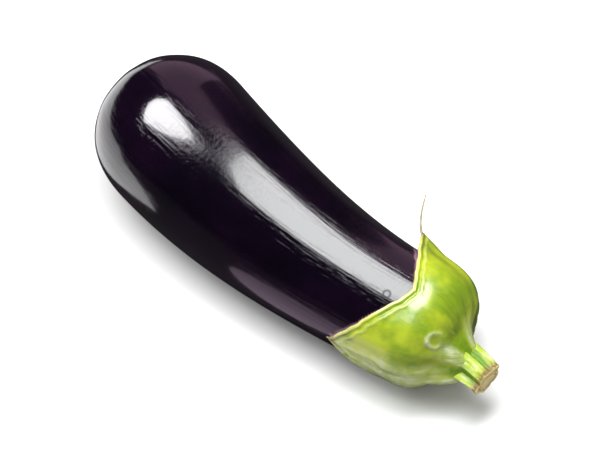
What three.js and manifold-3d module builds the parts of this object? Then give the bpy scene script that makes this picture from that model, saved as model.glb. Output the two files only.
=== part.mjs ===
// An eggplant as picked, lying on its side: a glossy fruit, its green cap and a cut stem.
//
// Millimetres, +Z up. The origin is on the table, in the middle of the small flat spot that the
// fruit rests on. +X runs along the fruit from its blossom end towards its stem.
//
// Every surface is worked out in the fruit's own terms: a station along its curved middle line,
// a distance out from that line, and an angle round it, which is 0 upwards and 90 towards +Y.
import * as THREE from "three";
import { ParametricGeometry } from "three/addons/geometries/ParametricGeometry.js";
import { mergeVertices } from "three/addons/utils/BufferGeometryUtils.js";
import Module from "manifold-3d";

// The fruit.
const FRUIT_LENGTH = 183; // along its middle line, blossom end to the shoulder under the cap
const BULB_RADIUS = 34; // at its widest
const NECK_RADIUS = 24; // under the cap
const TAPER_START = 5; // stations between which it narrows from bulb to neck
const TAPER_END = 195;
const BLOSSOM_ROUNDING = 36; // length over which the blossom end rounds off
const SHOULDER_ROUNDING = 17; // and the flatter shoulder
const ROUNDING_POWER = 2.3; // 2 is an ellipse, more is blunter
const OVAL_SHARE = 0.01; // how far the section is from round, as a share of its radius
const THREE_SIDED_SHARE = 0.006;

// How it lies.
const BEND_DEGREES = 27; // turn of the middle line, end to end
const START_HEADING_DEGREES = -15.5; // its heading at the blossom end
const BEND_TILT_DEGREES = 17; // the bend's hollow side faces +Y, turned up by this much
const NOSE_DOWN_DEGREES = 3.2; // the stem end lies lower than the bulb
const REST_STATION = 70; // the flat spot's middle
const REST_DEPTH = 0.45; // how far the skin is pressed flat there

// The cap (calyx).
const CLEARANCE = 0.4; // between the cap's inside and the skin
const CAP_WALL = 1.8;
const CROWN_WALL = 2.6; // thicker on top, where the stem grows out of it
const COLLAR_RISE = 1.5; // how far the level patch that the stem stands on is above the crown
const COLLAR_RADIUS = 9.2;
const COLLAR_SPREAD = 7.5; // width of the hollow curve from that patch to the shoulder
const NOTCH_REACH = 33.7; // along the skin, from the middle of the shoulder to a notch between lobes
const LIFT_ROOT = 8; // a lobe starts to lift this far before the notches
const LOBE_POWER = 1.04; // 1 is straight-sided
const THREAD_DEGREES = 2.5; // half the width of the dry thread at a lobe's tip
const LOBE_ROOT_DEGREES = 2; // columns stand this close to each notch
// Each lobe runs from one notch to the next, with its tip between, in degrees round the fruit.
// reach is its length beyond the notches, lift how far its tip stands off the skin, thread the
// length of its dry tip and curl how far that turns outwards.
const LOBES = [
  { from: -8, tip: 55, to: 92, reach: 17, lift: 5.5, thread: 9, curl: 11 },
  { from: 92, tip: 121, to: 150, reach: 15, lift: 1.6, thread: 3, curl: 1.5 },
  { from: 150, tip: 178, to: 205, reach: 13, lift: 0.1, thread: 2, curl: 0 },
  { from: 205, tip: 272, to: 352, reach: 24, lift: 1, thread: 2, curl: 0.4 },
];

// The stem.
const STEM_LENGTH = 12.8;
const STEM_FOOT_RADIUS = 9.1;
const STEM_RADIUS = 7.5;
const STEM_CUT_RADIUS = 7.2;
const STEM_ACROSS = -6; // its foot is off the middle of the cap: across, along the bend's plane
const STEM_UP = -2.4; // and up, square to that plane
const STEM_SWING = -3.6; // and its cut end is this much further across
const STEM_SLANT = 0.27; // the cut's slope, and the angle round the stem of its far side
const STEM_SLANT_DEGREES = 60;
const STEM_RIDGES = 5;
const RIDGE_HEIGHT = 0.35;
const JOIN_GAP = 0.3; // between the stem's foot and the cap's collar

const radians = THREE.MathUtils.degToRad;
const clamp = THREE.MathUtils.clamp;
const lerp = THREE.MathUtils.lerp;
const fade = (x) => THREE.MathUtils.smootherstep(x, 0, 1);

// --- The middle line: an arc of constant turn -----------------------------------------------------

const turnPerMm = radians(BEND_DEGREES) / FRUIT_LENGTH;
const startHeading = radians(START_HEADING_DEGREES);

// The arc in its own plane, with the hollow side towards +Y.
function arcPoint(station) {
  const heading = startHeading + turnPerMm * station;
  return new THREE.Vector2(
    (Math.sin(heading) - Math.sin(startHeading)) / turnPerMm,
    (Math.cos(startHeading) - Math.cos(heading)) / turnPerMm,
  );
}

// What lays that plane down: tilted, nose down, and at the height where the skin is pressed flat.
const restPoint = arcPoint(REST_STATION);
const pitch = radians(NOSE_DOWN_DEGREES);
const restHeight = bodyRadius(REST_STATION) * Math.cos(pitch) - REST_DEPTH;
const lay = new THREE.Matrix4()
  .makeTranslation(0, 0, restHeight)
  .multiply(new THREE.Matrix4().makeRotationY(pitch))
  .multiply(new THREE.Matrix4().makeRotationX(radians(BEND_TILT_DEGREES)))
  .multiply(
    new THREE.Matrix4().makeTranslation(-restPoint.x, -restPoint.y, 0),
  );

// The point at a station, a distance out and an angle round. shift moves it to the bend's hollow
// side and up moves it out of the bend's plane.
function place(station, radius, degrees, target, shift = 0, up = 0) {
  const heading = startHeading + turnPerMm * station;
  const angle = radians(degrees + BEND_TILT_DEGREES);
  const across = radius * Math.sin(angle) + shift;
  const { x, y } = arcPoint(station);
  return target
    .set(
      x - across * Math.sin(heading),
      y + across * Math.cos(heading),
      radius * Math.cos(angle) + up,
    )
    .applyMatrix4(lay);
}

// --- The fruit's profile -------------------------------------------------------------------------

// 0 at an end and 1 where the rounding is over.
function rounding(distance, length) {
  const inward = 1 - clamp(distance / length, 0, 1);
  return (1 - inward ** ROUNDING_POWER) ** (1 / ROUNDING_POWER);
}

// The radius of the tapering body, before its ends are rounded off.
function bodyRadius(station) {
  const share = (station - TAPER_START) / (TAPER_END - TAPER_START);
  return lerp(BULB_RADIUS, NECK_RADIUS, fade(share));
}

function fruitRadius(station) {
  return (
    bodyRadius(station) *
    rounding(station, BLOSSOM_ROUNDING) *
    rounding(FRUIT_LENGTH - station, SHOULDER_ROUNDING)
  );
}

// The section is a little oval and a little three-sided, and that turns along the fruit.
function outOfRound(station, degrees) {
  const turn = station / FRUIT_LENGTH;
  return (
    1 +
    OVAL_SHARE * Math.cos(2 * radians(degrees - 20)) +
    THREE_SIDED_SHARE * Math.cos(3 * radians(degrees) + 2.2 * turn)
  );
}

// Stations that crowd towards both ends, where the profile turns quickly.
function fruitStation(share) {
  return (FRUIT_LENGTH * (1 - Math.cos(Math.PI * share))) / 2;
}

// --- Surfaces on a grid --------------------------------------------------------------------------

const steps = (count) => Array.from({ length: count + 1 }, (_, i) => i / count);

// A closed surface: columns run round it, and rows go from the pole at its +X end to the other.
function gridSurface(columns, rows, pointAt) {
  const pick = (list, share) => list[Math.round(share * (list.length - 1))];
  return new ParametricGeometry(
    (u, v, target) => pointAt(pick(columns, u), pick(rows, v), target),
    columns.length - 1,
    rows.length - 1,
  );
}

// --- The cap's section ---------------------------------------------------------------------------

// The skin from the middle of the shoulder towards the bulb, with the distance walked along it.
const SKIN_SAMPLES = 600;
const skin = steps(SKIN_SAMPLES).map((share) => {
  const station = fruitStation(1 - share / 2);
  return { station, radius: fruitRadius(station), walked: 0 };
});
skin.forEach((point, i) => {
  if (i === 0) return;
  const last = skin[i - 1];
  point.walked =
    last.walked +
    Math.hypot(point.station - last.station, point.radius - last.radius);
});

// The skin's point and outward direction, a distance along it from the middle of the shoulder.
function skinAt(walked) {
  const i = clamp(
    skin.findIndex((point) => point.walked > walked),
    1,
    skin.length - 1,
  );
  const [a, b] = [skin[i - 1], skin[i]];
  const step = b.walked - a.walked;
  const share = (walked - a.walked) / step;
  return {
    station: lerp(a.station, b.station, share),
    radius: lerp(a.radius, b.radius, share),
    outStation: (b.radius - a.radius) / step,
    outRadius: (a.station - b.station) / step,
  };
}

// Which lobe an angle is in, and how far it is from the tip: 0 there and 1 at a notch.
function lobeAt(degrees) {
  const first = LOBES[0].from;
  const angle = ((((degrees - first) % 360) + 360) % 360) + first;
  const lobe = LOBES.find(({ from, to }) => angle >= from && angle < to);
  const half = angle < lobe.tip ? lobe.tip - lobe.from : lobe.to - lobe.tip;
  return { lobe, away: Math.abs(angle - lobe.tip) / half, half };
}

// How far the cap reaches along the skin, from the middle of the shoulder to its edge.
function capReach(degrees) {
  const { lobe, away, half } = lobeAt(degrees);
  const thread = Math.max(0, 1 - (away * half) / THREAD_DEGREES);
  return (
    NOTCH_REACH + lobe.reach * (1 - away) ** LOBE_POWER + lobe.thread * thread
  );
}

// How far the cap stands off the skin.
function capLift(walked, degrees) {
  const { lobe, away } = lobeAt(degrees);
  const root = NOTCH_REACH - LIFT_ROOT;
  const along = Math.max(0, walked - root) / (lobe.reach + LIFT_ROOT);
  const past = Math.max(0, walked - NOTCH_REACH - lobe.reach);
  const curled = lobe.curl * (past / lobe.thread) ** 2;
  return lobe.lift * along ** 2 * fade(1.6 * (1 - away)) + curled;
}

// The wall is thick on the crown, thins to the edge and more towards a lobe's tip.
function capWall(walked, degrees) {
  const { lobe } = lobeAt(degrees);
  const crown = lerp(CROWN_WALL, CAP_WALL, fade(walked / (NOTCH_REACH / 2)));
  const past = Math.max(0, walked - NOTCH_REACH) / (lobe.reach + lobe.thread);
  return crown * lerp(1, 0.35, clamp(past, 0, 1));
}

// How far the crown is drawn up level for the stem, which grows off its middle: 1 there, 0 away.
const crownTop = FRUIT_LENGTH + CLEARANCE + CROWN_WALL + COLLAR_RISE;
function collar(walked, degrees) {
  const distance = Math.hypot(
    walked * Math.sin(radians(degrees + BEND_TILT_DEGREES)) - STEM_ACROSS,
    walked * Math.cos(radians(degrees + BEND_TILT_DEGREES)) - STEM_UP,
  );
  return 1 - fade((distance - COLLAR_RADIUS) / COLLAR_SPREAD);
}

// Rows are evenly spaced over the crown, then stretch with each lobe from there to its edge.
const CROWN_REACH = 30;
const CROWN_ROWS = 12;
const LOBE_ROWS = 5;
const outerRows = [
  ...steps(CROWN_ROWS).map((crown) => ({ crown, lobe: 0 })),
  ...steps(LOBE_ROWS)
    .slice(1)
    .map((lobe) => ({ crown: 1, lobe })),
];
const capRows = [
  ...outerRows.map((row) => ({ ...row, outside: true })),
  ...outerRows.map((row) => ({ ...row, outside: false })).reverse(),
];

function capPoint(degrees, { crown, lobe, outside }, target) {
  const walked =
    CROWN_REACH * crown + (capReach(degrees) - CROWN_REACH) * lobe;
  const { station, radius, outStation, outRadius } = skinAt(walked);
  const wall = outside ? capWall(walked, degrees) : 0;
  const drawn = outside ? collar(walked, degrees) : 0;
  const off = CLEARANCE + capLift(walked, degrees) + wall;
  const out = radius * outOfRound(station, degrees) + off * outRadius;
  const along = lerp(station + off * outStation, crownTop, drawn);
  return place(along, crown && out, degrees, target);
}

// Columns stand at each notch and tip and beside them, and evenly between.
const CAP_COLUMN_DEGREES = 7;
const capColumns = LOBES.flatMap(({ from, tip, to }) => {
  const stretch = (a, b) => {
    const count = Math.round((b - a) / CAP_COLUMN_DEGREES);
    return steps(count).map((share) => lerp(a, b, share));
  };
  return [
    from,
    ...stretch(from + LOBE_ROOT_DEGREES, tip - THREAD_DEGREES),
    tip,
    ...stretch(tip + THREAD_DEGREES, to - LOBE_ROOT_DEGREES),
  ];
});
capColumns.push(LOBES[0].from + 360);

// --- The stem ------------------------------------------------------------------------------------

const stemFoot = crownTop + JOIN_GAP;
const STEM_ROWS = 9;
const stemRows = [
  { share: 1, middle: true },
  ...steps(STEM_ROWS).map((share) => ({ share: 1 - share })),
  { share: 0, middle: true },
];

// It narrows from its foot, its ridges die out at the foot, and the cut is slanted.
function stemPoint(degrees, { share, middle }, target) {
  const waist = lerp(STEM_FOOT_RADIUS, STEM_RADIUS, fade(share * 2.2));
  const flare = (STEM_CUT_RADIUS - STEM_RADIUS) * fade(share * 2 - 1);
  const ridge =
    RIDGE_HEIGHT *
    fade(share * 3) *
    Math.cos(STEM_RIDGES * radians(degrees + 12));
  const radius = middle ? 0 : waist + flare + ridge;
  const slant =
    STEM_SLANT * radius * Math.cos(radians(degrees - STEM_SLANT_DEGREES));
  return place(
    stemFoot + STEM_LENGTH * share + slant * fade(share),
    radius,
    degrees,
    target,
    STEM_ACROSS + STEM_SWING * share ** 1.5,
    STEM_UP,
  );
}

// --- Solids ----------------------------------------------------------------------------------------

const wasm = await Module();
wasm.setup();

function toSolid(geometry) {
  const bare = geometry.clone();
  bare.deleteAttribute("normal");
  bare.deleteAttribute("uv");
  const merged = mergeVertices(bare, 1e-3);
  return new wasm.Manifold(
    new wasm.Mesh({
      numProp: 3,
      vertProperties: merged.attributes.position.array,
      triVerts: new Uint32Array(merged.index.array),
    }),
  );
}

function toGeometry(solid) {
  const { vertProperties, triVerts } = solid.getMesh();
  return new THREE.BufferGeometry()
    .setAttribute("position", new THREE.BufferAttribute(vertProperties, 3))
    .setIndex(new THREE.BufferAttribute(triVerts, 1));
}

// The fruit's skin, cut level with the table where it is pressed flat.
function makeFruit() {
  const FRUIT_COLUMNS = 44;
  const FRUIT_ROWS = 36;
  const columns = steps(FRUIT_COLUMNS).map((share) => 360 * share);
  const rows = steps(FRUIT_ROWS).map((share) => fruitStation(1 - share));
  const skinSurface = gridSurface(columns, rows, (degrees, station, target) =>
    place(
      station,
      fruitRadius(station) * outOfRound(station, degrees),
      degrees,
      target,
    ),
  );
  const underTable = new THREE.BoxGeometry(300, 120, 10).translate(0, 0, -5);
  return toGeometry(toSolid(skinSurface).subtract(toSolid(underTable)));
}

function makeCap() {
  return gridSurface(capColumns, capRows, capPoint);
}

function makeStem() {
  const STEM_COLUMNS = 40;
  const columns = steps(STEM_COLUMNS).map((share) => 360 * share);
  return gridSurface(columns, stemRows, stemPoint);
}

// --- The eggplant ----------------------------------------------------------------------------------

function piece(name, geometry, color, roughness) {
  const material = new THREE.MeshStandardMaterial({
    color,
    roughness,
    metalness: 0,
  });
  const mesh = new THREE.Mesh(geometry, material);
  mesh.name = name;
  return mesh;
}

const eggplant = new THREE.Group();
eggplant.name = "eggplant";
eggplant.add(
  piece("fruit", makeFruit(), 0x120814, 0.12),
  piece("calyx", makeCap(), 0xa3bf2c, 0.5),
  piece("stem", makeStem(), 0x8fb02a, 0.5),
);

export default eggplant;
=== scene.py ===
"""Looks for an eggplant that lies on its side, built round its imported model.

The fruit, its green cap and its cut stem are surfaces worked out in millimetres. Each follows the
fruit's curved middle line: a point is given by its station along that line, its distance out from
it and its angle round it, which is 0 upwards and 90 towards +Y.
"""

import logging
import math
from dataclasses import dataclass, field
from enum import Enum

import bpy
import numpy as np
from mathutils import Matrix, Vector


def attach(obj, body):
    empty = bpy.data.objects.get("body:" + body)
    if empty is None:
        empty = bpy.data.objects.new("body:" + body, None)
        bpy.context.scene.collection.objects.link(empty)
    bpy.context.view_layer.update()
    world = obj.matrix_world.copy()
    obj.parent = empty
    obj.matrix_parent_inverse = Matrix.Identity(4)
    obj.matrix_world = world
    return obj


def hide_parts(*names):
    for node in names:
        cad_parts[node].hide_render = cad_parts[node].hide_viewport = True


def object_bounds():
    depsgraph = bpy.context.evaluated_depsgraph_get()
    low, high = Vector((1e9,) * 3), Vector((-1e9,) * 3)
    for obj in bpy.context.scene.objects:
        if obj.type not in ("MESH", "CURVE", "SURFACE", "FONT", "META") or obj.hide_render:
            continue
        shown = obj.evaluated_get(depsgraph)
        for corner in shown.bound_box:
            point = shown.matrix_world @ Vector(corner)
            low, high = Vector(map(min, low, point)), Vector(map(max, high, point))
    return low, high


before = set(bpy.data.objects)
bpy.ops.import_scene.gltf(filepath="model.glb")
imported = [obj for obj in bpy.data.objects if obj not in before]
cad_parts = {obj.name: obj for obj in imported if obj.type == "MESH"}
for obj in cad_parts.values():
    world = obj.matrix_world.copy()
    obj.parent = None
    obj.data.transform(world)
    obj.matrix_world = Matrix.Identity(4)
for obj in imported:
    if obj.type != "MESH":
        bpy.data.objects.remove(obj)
CAD_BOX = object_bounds()

MM = 0.001
LOG = logging.getLogger("eggplant")

Array = np.ndarray
Colour = tuple[float, float, float]


class Slot(Enum):
    """The record's material slots."""

    SKIN = "skin"
    CAP = "cap_green"
    STEM = "stem_green"


class Mark(Enum):
    """Values stored at each point of a piece, which its finish reads."""

    FLOW = "flow"
    PALE = "pale"
    SCAR_AND_HIGHLIGHT = "scar"
    RIM = "rim"
    # On the skin a real blossom scar; on the cap a ring painted pale as a highlight.
    DRY = "dry"
    # Real whitish bloom on the cap's underside, plus a painted highlight on the ridges of the collar
    # and the stem.
    BLOOM_AND_HIGHLIGHT = "bloom"
    INSIDE = "inside"
    # Painted shade: darker green in the grooves of the collar and the stem.
    PAINTED_GROOVE_SHADE = "groove"
    CUT = "cut"
    RING = "ring"


# --- Numbers -------------------------------------------------------------------------------------


def fade(x: Array) -> Array:
    """Rises from 0 to 1 as x does, level at both ends: 6x^5 - 15x^4 + 10x^3 on x held in 0 to 1.

    Args:
        x: Any numbers.

    Returns:
        The faded numbers, of the same shape.
    """
    x = np.clip(x, 0.0, 1.0)
    return x**3 * (x * (x * 6.0 - 15.0) + 10.0)


def blend(a: float | Array, b: float | Array, share: Array) -> Array:
    """Returns the mix of a and b, which is a at share 0 and b at share 1."""
    return a + (b - a) * share


def bell(x: Array, width: float) -> Array:
    """Returns a smooth bump of height 1 at x = 0 that is down to 1/e at x = width."""
    return np.exp(-((x / width) ** 2))


@dataclass(frozen=True)
class Ripples:
    """Waves round and along a piece, each tilting its surface by about the same small angle.

    A wave is height * cos(order * angle + turns * 2 pi * along + phase), where its height is the
    lowest order's height shrunk in proportion to its own order.
    """

    seed: int
    count: int
    lowest: int
    highest: int
    height: float
    turns: float

    def at(self, along: Array, angle: Array) -> Array:
        """Sums the waves.

        Args:
            along: Share of the piece's length.
            angle: Angle round the piece, in radians.

        Returns:
            The height of the rippled surface, in the unit of the height field.
        """
        draw = np.random.default_rng(self.seed)
        order = draw.integers(self.lowest, self.highest + 1, self.count)[:, None, None]
        phase = draw.uniform(0.0, 2.0 * np.pi, self.count)[:, None, None]
        turns = draw.uniform(-self.turns, self.turns, self.count)[:, None, None]
        size = self.height * self.lowest / order
        along, angle = np.broadcast_arrays(along, angle)
        wave = np.cos(order * angle + 2.0 * np.pi * turns * along + phase)
        return (size * wave).sum(axis=0)


# --- Meshes --------------------------------------------------------------------------------------


@dataclass
class Grid:
    """A closed surface: rings of points in millimetres, from the pole at its +X end to the other.

    marks holds a value for each point of the rings; a pole takes the mean of the ring beside it.
    """

    points: Array
    first_pole: Array
    last_pole: Array
    marks: dict[Mark, Array] = field(default_factory=dict)

    def faces(self) -> tuple[Array, Array]:
        """Joins the points.

        Returns:
            The four-sided faces between the rings, and the three-sided ones round the poles.
        """
        rings, columns = self.points.shape[:2]
        here = 1 + np.arange(rings * columns).reshape(rings, columns)
        there = np.roll(here, -1, axis=1)
        quads = np.stack([here[:-1], there[:-1], there[1:], here[1:]], axis=-1)
        first = np.stack([np.zeros(columns, int), there[0], here[0]], axis=-1)
        last_pole = np.full(columns, 1 + rings * columns)
        last = np.stack([here[-1], there[-1], last_pole], axis=-1)
        return quads.reshape(-1, 4), np.concatenate([first, last])

    def unwrap(self) -> Array:
        """Returns a UV for every corner: the share round the piece, and the share along it."""
        rings, columns = self.points.shape[:2]
        u = np.arange(columns)[None, :] / columns
        v = np.arange(rings)[:, None] / (rings + 1)
        step_u, step_v = 1.0 / columns, 1.0 / (rings + 1)
        u, v = np.broadcast_arrays(u, v + step_v)
        corners = [(0.0, 0.0), (step_u, 0.0), (step_u, step_v), (0.0, step_v)]
        quads = np.stack([np.stack([u[:-1] + a, v[:-1] + b], -1) for a, b in corners], axis=2)
        u0, half = u[0], step_u / 2.0
        zeros, ones = np.zeros(columns), np.ones(columns)
        first = [(u0 + half, zeros), (u0 + step_u, ones * step_v), (u0, ones * step_v)]
        last = [(u0, ones - step_v), (u0 + step_u, ones - step_v), (u0 + half, ones)]
        fans = [np.stack([np.stack(c, -1) for c in fan], axis=1) for fan in (first, last)]
        return np.concatenate([part.reshape(-1, 2) for part in (quads, *fans)])

    def mesh(self, name: str) -> bpy.types.Mesh:
        """Puts the surface into a new mesh, in metres, with its marks and a UV map.

        Args:
            name: Name of the mesh.

        Returns:
            The mesh, smooth shaded.
        """
        poles = (self.first_pole[None], self.last_pole[None])
        points = np.concatenate([poles[0], self.points.reshape(-1, 3), poles[1]]) * MM
        quads, triangles = self.faces()
        corners = np.concatenate([quads.ravel(), triangles.ravel()])
        sides = np.repeat([4, 3], [len(quads), len(triangles)])
        starts = np.concatenate([[0], np.cumsum(sides)[:-1]])
        mesh = bpy.data.meshes.new(name)
        mesh.vertices.add(len(points))
        mesh.vertices.foreach_set("co", points.astype(np.float32).ravel())
        mesh.loops.add(len(corners))
        mesh.loops.foreach_set("vertex_index", corners.astype(np.int32))
        mesh.polygons.add(len(sides))
        mesh.polygons.foreach_set("loop_start", starts.astype(np.int32))
        mesh.polygons.foreach_set("use_smooth", np.ones(len(sides), bool))
        mesh.update(calc_edges=True)
        mesh.uv_layers.new(name="UVMap").uv.foreach_set(
            "vector", self.unwrap().astype(np.float32).ravel()
        )
        for mark, values in self.marks.items():
            self._store(mesh, mark, values)
        return mesh

    @staticmethod
    def _store(mesh: bpy.types.Mesh, mark: Mark, values: Array) -> None:
        """Stores one mark at every point of a mesh.

        Args:
            mesh: The mesh of this surface.
            mark: Which mark it is.
            values: A number or a vector for each point of the rings.
        """
        ends = [values[0].mean(axis=0)[None], values[-1].mean(axis=0)[None]]
        vector = values.ndim == 3
        flat = values.reshape(-1, 3) if vector else values.ravel()
        stored = np.concatenate([ends[0], flat, ends[1]]).astype(np.float32)
        kind, key = ("FLOAT_VECTOR", "vector") if vector else ("FLOAT", "value")
        attribute = mesh.attributes.new(mark.value, kind, "POINT")
        attribute.data.foreach_set(key, stored.ravel())


def add_piece(
    name: str,
    grid: Grid,
    material: bpy.types.Material,
    stands_for: str | None = None,
) -> bpy.types.Object:
    """Adds a piece of the eggplant that rides with it.

    Args:
        name: Name of the piece.
        grid: Its surface.
        material: Its finish.
        stands_for: The CAD node that it replaces, if any.

    Returns:
        The new object.
    """
    piece = bpy.data.objects.new(name, grid.mesh(name))
    bpy.context.scene.collection.objects.link(piece)
    piece.data.materials.append(material)
    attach(piece, "root")
    if stands_for is not None:
        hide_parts(stands_for)
    LOG.info("%s: %d faces", name, len(piece.data.polygons))
    return piece


def flow(angle: Array, radius: float, along: Array) -> Array:
    """Gives coordinates that run with a piece and meet without a seam.

    Args:
        angle: Angle round the piece, in radians.
        radius: Radius that the piece is rolled out at, in millimetres.
        along: Distance along the piece, in millimetres.

    Returns:
        (radius cos angle, radius sin angle, along) for each point.
    """
    angle, along = np.broadcast_arrays(angle, along)
    return np.stack([radius * np.cos(angle), radius * np.sin(angle), along], axis=-1)


# --- The eggplant's form -------------------------------------------------------------------------


@dataclass(frozen=True)
class Form:
    """The fruit's form and how it lies, in millimetres and degrees: the sizes that all pieces share.

    The middle line is an arc of constant turn. Its plane is tilted round X and tipped nose down,
    and it is as high as the flat spot under the fruit needs.
    """

    length: float = 183.0
    bulb_radius: float = 34.0
    neck_radius: float = 24.0
    taper_start: float = 5.0
    taper_end: float = 195.0
    blossom_rounding: float = 36.0
    shoulder_rounding: float = 17.0
    rounding_power: float = 2.3
    oval_share: float = 0.01
    three_sided_share: float = 0.006
    bend: float = 27.0
    start_heading: float = -15.5
    bend_tilt: float = 17.0
    nose_down: float = 3.2
    rest_station: float = 70.0
    rest_depth: float = 0.45
    press_softness: float = 0.12

    def body_radius(self, station: Array) -> Array:
        """Returns the tapering body's radius, before its ends are rounded off."""
        share = (station - self.taper_start) / (self.taper_end - self.taper_start)
        return blend(self.bulb_radius, self.neck_radius, fade(share))

    def rounding(self, distance: Array, length: float) -> Array:
        """Rounds off an end: (1 - (1 - x)^p)^(1/p), where x is the distance as a share of length.

        Args:
            distance: Distance from the end.
            length: Length over which the end rounds off.

        Returns:
            0 at the end, 1 where the rounding is over.
        """
        inward = 1.0 - np.clip(distance / length, 0.0, 1.0)
        power = self.rounding_power
        return (1.0 - inward**power) ** (1.0 / power)

    def radius(self, station: Array) -> Array:
        """Returns the fruit's radius: the body's, times the rounding of either end."""
        blossom = self.rounding(station, self.blossom_rounding)
        shoulder = self.rounding(self.length - station, self.shoulder_rounding)
        return self.body_radius(station) * blossom * shoulder

    def out_of_round(self, station: Array, angle: Array) -> Array:
        """Returns the section's factor: 1, plus a small oval and a small three-sided wave."""
        oval = self.oval_share * np.cos(2.0 * (angle - math.radians(20.0)))
        turn = 2.2 * station / self.length
        return 1.0 + oval + self.three_sided_share * np.cos(3.0 * angle + turn)

    def stations(self, share: Array) -> Array:
        """Returns stations that crowd towards both ends: length (1 - cos(pi share)) / 2."""
        return self.length * (1.0 - np.cos(np.pi * share)) / 2.0

    def arc(self, station: Array) -> tuple[Array, Array, Array]:
        """Follows the middle line in its own plane.

        Args:
            station: Distance along the line.

        Returns:
            The line's x and y there, and its heading in radians.
        """
        start = math.radians(self.start_heading)
        turn = math.radians(self.bend) / self.length
        heading = start + turn * station
        x = (np.sin(heading) - math.sin(start)) / turn
        y = (math.cos(start) - np.cos(heading)) / turn
        return x, y, heading

    def place(
        self,
        station: Array,
        radius: Array,
        angle: Array,
        shift: Array = 0.0,
        up: Array = 0.0,
    ) -> Array:
        """Places points round the middle line.

        A point is the line's own point, plus the radius times its direction across the line, plus
        the shifts, all turned by the plane's tilt and its tip and lifted to the resting height.

        Args:
            station: Distance along the middle line.
            radius: Distance out from it.
            angle: Angle round it in radians.
            shift: How far the points move towards the bend's hollow side.
            up: How far they move out of the bend's plane.

        Returns:
            The points, with x, y and z last.
        """
        x, y, heading = self.arc(station)
        rest_x, rest_y, _ = self.arc(np.float64(self.rest_station))
        round_line = angle + math.radians(self.bend_tilt)
        across = radius * np.sin(round_line) + shift
        parts = (
            x - across * np.sin(heading) - rest_x,
            y + across * np.cos(heading) - rest_y,
            radius * np.cos(round_line) + up,
        )
        pitch = math.radians(self.nose_down)
        lay = Matrix.Rotation(pitch, 3, "Y") @ Matrix.Rotation(math.radians(self.bend_tilt), 3, "X")
        height = self.body_radius(np.float64(self.rest_station)) * math.cos(pitch) - self.rest_depth
        points = np.stack(np.broadcast_arrays(*parts), axis=-1) @ np.array(lay).T
        return points + np.array([0.0, 0.0, height])

    def pressed(self, points: Array) -> Array:
        """Presses points level with the table: z becomes half of z + sqrt(z^2 + s^2).

        Args:
            points: Points with x, y and z last.

        Returns:
            The points, with none below the table.
        """
        height = points[..., 2:]
        level = (height + np.hypot(height, self.press_softness)) / 2.0
        return np.concatenate([points[..., :2], level], axis=-1)


def round_angles(columns: int) -> Array:
    """Returns evenly spaced angles round a piece, in radians, as one row."""
    return np.linspace(0.0, 2.0 * np.pi, columns, endpoint=False)[None, :]


# --- The cap's shape -----------------------------------------------------------------------------


@dataclass(frozen=True)
class Lobe:
    """A lobe of the cap between two notches, in degrees round the fruit and millimetres.

    reach is its length beyond the notches, lift how far its tip stands off the skin, thread the
    length of its dry tip, curl how far that turns outwards and sway how far it bends sideways.
    """

    start: float
    tip: float
    end: float
    reach: float
    lift: float
    thread: float
    curl: float
    sway: float = 0.0


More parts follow.
